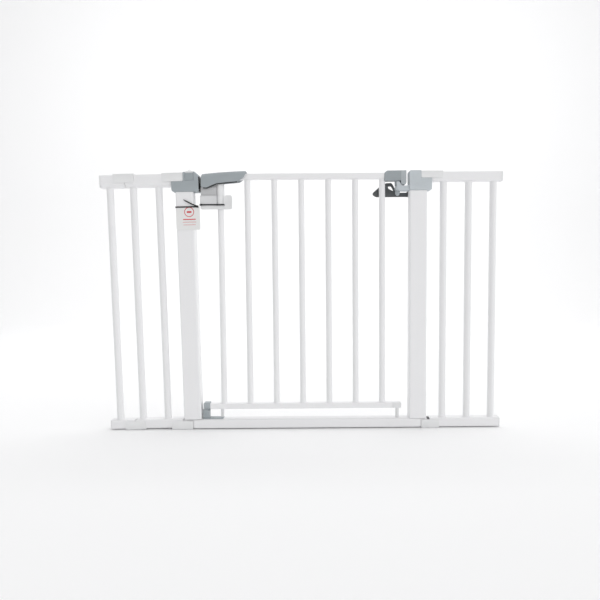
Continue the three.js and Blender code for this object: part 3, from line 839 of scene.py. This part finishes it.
def add_handle_spring():
    """The wound body of the spring under the handle."""
    low, high = box_mm("handle_spring")
    x, z = (low.x + high.x) / 2, (low.z + high.z) / 2
    coil, wire, turns, steps = 5.0, 0.5, 2.5, 20
    path = [Vector((x + coil * math.cos(a), low.y + 0.6 + (high.y - low.y - 1.2) * a / (2 * math.pi * turns),
                    z + coil * math.sin(a)))
            for a in (2 * math.pi * i / steps for i in range(int(turns * steps) + 1))]
    loops = []
    for i, point in enumerate(path):
        ahead = (path[min(i + 1, len(path) - 1)] - path[max(i - 1, 0)]).normalized()
        side = ahead.cross(Vector((0, 1, 0))).normalized()
        up = side.cross(ahead)
        loops.append([tuple(((point + side * a + up * b) * MM) + Vector((0, MIDDLE_Y, 0)))
                      for a, b in circle(wire, 10)])
    piece("handle_spring_coil", solid(loops), "door", STEEL, ["handle_spring"])


# ---- lock block, casing, slide and bolt ----

def first_bar_x():
    return box_mm("door_bar_1")[0].x + BAR_RADIUS


def add_collar(name, z0, z1, soft=0.5):
    """A white sleeve round the first bar, which the block beside it is moulded on to."""
    outer, inner = COLLAR_RADIUS, BAR_BORE
    profile = [(outer, z0 + soft), (outer - soft, z0), (inner + soft, z0), (inner, z0 + soft),
               (inner, z1 - soft), (inner + soft, z1), (outer - soft, z1), (outer, z1 - soft)]
    piece(name, lathe_z(profile, first_bar_x(), 56, closed=True), "door", TAB_WHITE)


def collar_hole():
    """The room that the white sleeves take in the blocks beside them."""
    return lathe_z([(COLLAR_BORE, 655), (COLLAR_BORE, 760)], first_bar_x(), 56)


def add_lock():
    low, high = box_mm("lock_housing")
    base, top = low.z, low.z + 24
    body = block(low.x, LOCK_EDGE_X, -11.5, 11.5, base, top, 1.6, 4)
    neck = plate([(low.x + 1.2, top - 3), (LOCK_EDGE_X, top - 3), (LOCK_EDGE_X, high.z), (-289, high.z),
                  (low.x + 1.2, 742.5)], {2: 3, 3: 2, 4: 2}, -9, 9, 0.8)
    lock = cut(
        join(body, neck),
        collar_hole(),
        block(low.x - 3, -253, -5.4, 5.4, 723.5, 734.5),
        block(-285.4, -273.5, -13, 13, 726.5, 732.6, 1.0),
        block(low.x - 3, -240, -13, -11.2, base + 17, base + 17.8),
    )
    # white plastic darkened as painted shade under the handle
    piece("lock_housing_shell", lock, "door", SHADED_LOCK_WHITE, ["lock_housing"], sharp=30)
    add_collar("lock_collar", base, 735)


def add_casing():
    low, high = box_mm("slide_casing")
    body = plate(oblong(low.x, LOCK_EDGE_X, low.z, high.z), {0: 1.5, 3: 3}, -14, 14, 1.4)
    casing = cut(
        body,
        collar_hole(),
        block(-291, -250.5, -12.8, -9.7, low.z - 2, 682.5),
        block(low.x - 3, -240, -15, -13.6, high.z - 6.4, high.z - 5.6),
    )
    # white plastic darkened as painted shade below the handle
    piece("slide_casing_shell", casing, "door", SHADED_CASING_WHITE, ["slide_casing"], sharp=30)
    add_collar("slide_casing_collar", low.z, high.z)


def add_slide():
    low, high = box_mm("safety_slide")
    band = plate([(low.x, 664.5), (low.x + 3, low.z), (-214, low.z), (-214, 670.6), (low.x, 670.6)],
                 {0: 2, 1: 2, 4: 1}, -13, -9.6, 0.7)
    tab = plate(oblong(-226, high.x, low.z, high.z), {0: 3, 1: 5.5, 2: 5.5, 3: 5.5}, low.y, -9.6, 1.1)
    rib = block(-290.6, -262, -12.4, -10.1, 669, 682, 0.5)
    slide = join(band, tab, rib)
    dish = block(-222.5, high.x - 3.5, low.y - 1.2, low.y + 0.7, low.z + 6, high.z - 5, 0.9)
    piece("safety_slide_tab", cut(slide, dish), "slide", TAB_WHITE, ["safety_slide"],
          sharp=30)


def add_bolt():
    low, high = box_mm("latch_bolt")
    bar = plate([(low.x, low.z + 3), (low.x + 3, low.z), (high.x, low.z), (high.x, high.z), (low.x, high.z)],
                {0: 1.2, 1: 1.2, 3: 1, 4: 1.2}, -5, 5, 0.6)
    slot = block(-285.2, -280.8, -6, 6, 723, 732.4, 0.8)
    # the bolt is dark plastic, made darker still as painted shade in the latch gap
    piece("latch_bolt_bar", cut(bar, slot), "bolt", DARK_GREY_AND_SHADE, ["latch_bolt"])


# ---- hinge side ----

def add_bracket():
    low, high = box_mm("hinge_bracket")
    left = high.x - 66.4
    step, shoulder = left + 35, high.z - 22
    half = high.y
    body = plate([(left, low.z), (high.x, low.z), (high.x, shoulder), (step, shoulder), (step, high.z),
                  (left, high.z)], {0: 2.2, 1: 5.5, 2: 2.2, 3: 2.5, 4: 2.2, 5: 5}, -half, half, 1.5)
    tongue = block(step - 1, high.x - 0.4, -14.8, 14.8, shoulder - 2, high.z - 3.7, 1.0)
    floor = plate(oblong(low.x, left + 2, low.z, low.z + 13), {0: 6, 3: 2}, -13, 13, 1.0)
    lip = plate([(281, 738), (282, 718), (288, low.z), (left + 2, low.z), (left + 2, 733), (313, 726),
                 (297.5, 726), (289.5, 738)], {0: 2, 1: 3, 2: 6, 5: 7, 6: 7, 7: 2}, -16, -9.7, 1.1)
    bracket = cut(
        join(body, tongue, floor, lip),
        lathe_z([(UPPER_PIN_BORE, low.z - 2), (UPPER_PIN_BORE, low.z + 16)], HINGE_X, 40),
        lathe_y([(RIVET_BORE, 8), (RIVET_BORE, half + 2)], *STOPPER_PIVOT, 32),
    )
    piece("hinge_bracket_shell", bracket, "frame", PALE_GREY, ["hinge_bracket"],
          sharp=30)


def add_stopper():
    low, high = box_mm("swing_stopper")
    outline = [(213, 708), (217, 701.5), (225, 697.5), (335, 697.5), (345, 712), (346, 724), (342, 733),
               (334, 736), (326, 733), (321, 724), (318, 710), (292, 710), (284, 716), (276, 732), (271, 739),
               (256, 739), (236, 729)]
    radii = [5, 5, 8, 6, 8, 8, 5, 5, 5, 5, 5, 5, 5, 6, 4, 10, 30]
    lever = plate(outline, dict(enumerate(radii)), 20.3, high.y, 0.9)
    hole = plate([(259.2, 729), (262, 722), (279, 713), (270, 729)], 2, 18, 29, 0.01)
    pad = block(231.5, 250, low.y, 21, 703, 720, 2.0)
    bore = lathe_y([(RIVET_BORE, 19), (RIVET_BORE, 28)], *STOPPER_PIVOT, 32)
    # painted shade: the stopper lever is coloured dark for the shade behind the top rail
    piece("swing_stopper_lever", cut(join(lever, pad), hole, bore), "stopper", DARK_GREY_AND_SHADE,
          ["swing_stopper"], sharp=30)
    low, high = box_mm("stopper_pin")
    profile = [(0.4, low.y), (2.6, low.y), (3, low.y + 0.4), (3, 26.9), (5.6, 26.9), (6, 27.3), (6, 28.4),
               (5.0, 29.1), (2.8, high.y), (0.4, high.y)]
    piece("stopper_pin_rivet", lathe_y(profile, *STOPPER_PIVOT), "frame", STEEL, ["stopper_pin"])


def add_hinge_cap():
    low, high = box_mm("hinge_cap")
    foot = 741
    body = plate([(low.x, foot), (303, foot), (303, high.z), (low.x + 8, high.z), (low.x, high.z - 6.5)],
                 {0: 2.2, 1: 2.2, 2: 2.2, 3: 9, 4: 9}, -12, 12, 1.9)
    boss = lathe_z([(8, 726), (8.5, 726.5), (8.5, 744), (8.5, 746)], HINGE_X)
    body = cut(
        join(body, boss),
        block(low.x - 3, 262.3, -9.3, 9.3, 747.2, 765.8),
        lathe_z([(UPPER_PIN_BORE, 724), (UPPER_PIN_BORE, 753)], HINGE_X, 40),
        lathe_z([(BAR_BORE, 739), (BAR_BORE, 749)], LAST_BAR_X),
    )
    piece("hinge_cap_shell", body, "door", CAP_GREY, ["hinge_cap"], sharp=30)
    radius, nose_z = 8.25, 737
    middle = high.x - radius
    outline = [(high.x, high.z), (low.x + 48.3, high.z)]
    outline += [(middle + radius * math.cos(a), nose_z + radius * math.sin(a))
                for a in (math.pi + math.pi * i / 16 for i in range(17))]
    # the nose takes a lighter grey than the cap as a painted highlight
    piece("hinge_cap_nose", plate(outline, 0, -12.8, 11, 1.3), "door", LIT_NOSE_GREY, sharp=30)


def add_hinge_pins():
    low, high = box_mm("upper_hinge_pin")
    profile = [(0.3, low.z), (2.2, low.z), (3.4, low.z + 0.8), (6.2, low.z + 4.6), (6.9, low.z + 6.6),
               (7, 711), (6.6, 711.5), (4, 711.5), (4, 746), (3, high.z), (0.3, high.z)]
    piece("upper_hinge_pin_foot", lathe_z(profile, HINGE_X), "hinge_pins", GREY,
          ["upper_hinge_pin"])
    low, high = box_mm("lower_hinge_pin")
    profile = [(0.3, low.z), (2.4, low.z), (3, low.z + 0.6), (3, high.z - 0.6), (2.4, high.z), (0.3, high.z)]
    piece("lower_hinge_pin_shaft", lathe_z(profile, HINGE_X, 40), "hinge_pins", STEEL,
          ["lower_hinge_pin"])


def cam_mesh(low, high, faces_up):
    """A ring whose one face climbs once round the pin."""
    inner, outer, slit, steps = LOWER_PIN_BORE, 5.2, math.radians(2), 96
    climb, thinnest, soft = 16, 3.7, 0.25
    flat = low.z if faces_up else high.z
    start = low.z + thinnest if faces_up else low.z
    up = soft if faces_up else -soft
    loops = []
    for i in range(steps + 1):
        angle = slit + i / steps * (2 * math.pi - 2 * slit)
        edge = start + climb * i / steps
        section = [(inner, flat + up), (inner + soft, flat), (outer - soft, flat), (outer, flat + up),
                   (outer, edge - up), (outer - soft, edge), (inner + soft, edge), (inner, edge - up)]
        loops.append([((HINGE_X + r * math.cos(angle)) * MM, MIDDLE_Y + r * MM * math.sin(angle), z * MM)
                      for r, z in section])
    return solid(loops)


def add_foot_of_hinge():
    for name, body, faces_up in (("lower_cam_seat", "frame", True), ("lower_cam_riser", "door", False)):
        ring = cam_mesh(*box_mm(name), faces_up)
        piece(name + "_ring", ring, body, WHITE_PLASTIC, [name])
    low, high = box_mm("hinge_shoe")
    shoe = plate(oblong(low.x, high.x, low.z, high.z), {1: 4, 2: 4}, low.y, high.y, 1.4)
    shoe = cut(shoe, lathe_z([(LOWER_PIN_BORE, low.z - 2), (LOWER_PIN_BORE, high.z - 2.5)], HINGE_X, 32))
    piece("hinge_shoe_block", shoe, "door", WHITE_PLASTIC, ["hinge_shoe"])


# ---- foot of the latch side ----

def add_lower_latch():
    low, high = box_mm("lower_tongue")
    sleeve_end = box_mm("door_bottom_rail")[0].x - 0.3
    sleeve = plate(oblong(low.x, sleeve_end, low.z, high.z), {0: 3, 1: 1.6, 2: 1.6, 3: 4}, low.y, high.y, 1.4)
    groove = block(low.x - 1, sleeve_end + 1, low.y - 1, low.y + 0.5, low.z + 11.5, low.z + 12.6, 0.25)
    piece("lower_tongue_sleeve", cut(sleeve, groove), "door", GREY, ["lower_tongue"])
    low, high = box_mm("lower_catch")
    right = low.x + 18.2
    top = low.z + 1.9
    base = block(low.x, high.x, -10, 14, low.z, top, 0.6)
    wall = block(low.x, right, 10.6, 14, top - 1, high.z, 0.9)
    ramp = plate([(low.x, top - 1), (right, top - 1), (right, 46), (right - 5, 59.5), (low.x, 59.5)],
                 {2: 2, 3: 2, 4: 1.5}, -6, 11, 0.9)
    piece("lower_catch_ramp", join(base, wall, ramp), "frame", GREY, ["lower_catch"])
    peg = block(high.x - 8.5, high.x, 3, 12, top - 0.1, 59.3, 1.2)
    piece("lower_catch_peg", peg, "frame", WHITE_PLASTIC)


# ---- card and ties ----

def add_card():
    """A coated card with a generic print: a ring round a plain bar, and three plain bars below it."""
    low, high = box_mm("gap_card", LEFT)
    card = plate(oblong(low.x, high.x, low.z, high.z), 5, low.y, high.y, 0.25)
    tie_z = box_mm("post_tie", LEFT)[0].z
    slot_x = box_mm("left_post", LEFT)[1].x
    slot = block(slot_x - 0.3, slot_x + 2, low.y - 1, high.y + 1, tie_z - 0.2, tie_z + 5.8)
    piece("gap_card_sheet", cut(card, slot), "frame", CARD, ["gap_card"], LEFT)

    x, ring_z = low.x + 39, high.z - 19
    ink_front, ink_back, ring_outer, ring_inner = low.y - 0.06, low.y + 0.05, 14.5, 12.4

    def add_bar(name, ink, z, half_width, half_height, radius):
        bar = plate(oblong(x - half_width, x + half_width, z - half_height, z + half_height), radius,
                    ink_front, ink_back, 0.01)
        piece(name, bar, "frame", ink, (), LEFT)

    profile = [(ring_outer, ink_back), (ring_outer, ink_front), (ring_inner, ink_front),
               (ring_inner, ink_back)]
    piece("card_print_ring", lathe_y(profile, x, ring_z, 64, closed=True), "frame", PRINT, (), LEFT)
    add_bar("card_print_mark", PRINT, ring_z, 7, 2.6, 1.2)
    for i, (ink, half_width, half_height) in enumerate(((PRINT, 18.5, 1.5), (FAINT_PRINT, 20, 0.8),
                                                        (FAINT_PRINT, 18, 0.8))):
        add_bar(f"card_print_bar_{i + 1}", ink, ring_z - 21.5 - 8 * i, half_width, half_height, 0)


def strap_mesh(x0, x1, y0, y1, z0, radius):
    """A flat strap bent into a closed ring with rounded corners. x0..y1 are its inner faces."""
    middle_x, middle_y, soft = (x0 + x1) / 2, (y0 + y1) / 2, 0.3
    z1, thickness = z0 + TIE_WIDTH, TIE_THICKNESS
    loops = []
    for out, z in [(0, z0 + soft), (soft, z0), (thickness - soft, z0), (thickness, z0 + soft),
                   (thickness, z1 - soft), (thickness - soft, z1), (soft, z1), (0, z1 - soft)]:
        ring = rounded_rect(x1 - x0 + 2 * out, y1 - y0 + 2 * out, radius + out, 6)
        loops.append([((middle_x + a) * MM, MIDDLE_Y + (middle_y + b) * MM, z * MM) for a, b in ring])
    return solid(loops, closed=True)


def tail_mesh(start, end, bend, y0, y1):
    """The free end of a tie, bent from start to end and narrowed at its tip."""
    half_width, taper, taper_from, steps = 1.9, 1.1, 0.85, 14
    loops = []
    for i in range(steps + 1):
        t = i / steps
        here = start * (1 - t) ** 2 + bend * 2 * t * (1 - t) + end * t * t
        ahead = (bend - start) * (1 - t) + (end - bend) * t
        half = half_width - taper * max(0.0, t - taper_from) / (1 - taper_from)
        side = Vector((-ahead.y, ahead.x)).normalized() * half
        corners = [(here + side, y0), (here - side, y0), (here - side, y1), (here + side, y1)]
        loops.append([(p.x * MM, MIDDLE_Y + y * MM, p.y * MM) for p, y in corners])
    return solid(loops)


def add_ties():
    low, high = box_mm("post_tie", LEFT)
    post_low, post_high = box_mm("left_post", LEFT)
    card_front = box_mm("gap_card", LEFT)[0].y
    gap = 0.3
    strap_z = low.z + 0.8
    strap = strap_mesh(post_low.x - gap, post_high.x + gap, card_front - gap, post_high.y + gap, strap_z, 1.5)
    head_x = high.x - 3
    band = block(post_high.x - 1.5, head_x, card_front - gap - TIE_THICKNESS, card_front - gap, strap_z,
                 strap_z + TIE_WIDTH, 0.3)
    head = block(head_x - 3, head_x + 3, low.y, card_front - gap, low.z, low.z + 6.4, 0.8)
    start, end = Vector((head_x - 0.5, low.z + 4.4)), Vector((head_x - 40, high.z - 1.9))
    tail = tail_mesh(start, end, Vector((head_x - 16, low.z + 9.5)), low.y + 0.5, low.y + 1.6)
    piece("post_tie_strap", join(strap, band, head, tail), "frame", NYLON, ["post_tie"], LEFT)
    low, high = box_mm("door_tie")
    strap = strap_mesh(low.x + TIE_THICKNESS, high.x - TIE_THICKNESS, low.y + TIE_THICKNESS,
                       high.y - TIE_THICKNESS, low.z, 1.2)
    head = block(low.x + 3, low.x + 9, low.y - 0.9, low.y + 1.0, low.z - 0.6, high.z + 0.6, 0.6)
    piece("door_tie_strap", join(strap, head), "door", NYLON, ["door_tie"])


add_camera()
add_floor()
add_studio()
add_bars_and_rails()
add_clips()
add_end_caps()
add_latch_housing()
add_plug()
add_handle()
add_handle_pins()
add_handle_spring()
add_lock()
add_casing()
add_slide()
add_bolt()
add_bracket()
add_stopper()
add_hinge_cap()
add_hinge_pins()
add_foot_of_hinge()
add_lower_latch()
add_card()
add_ties()
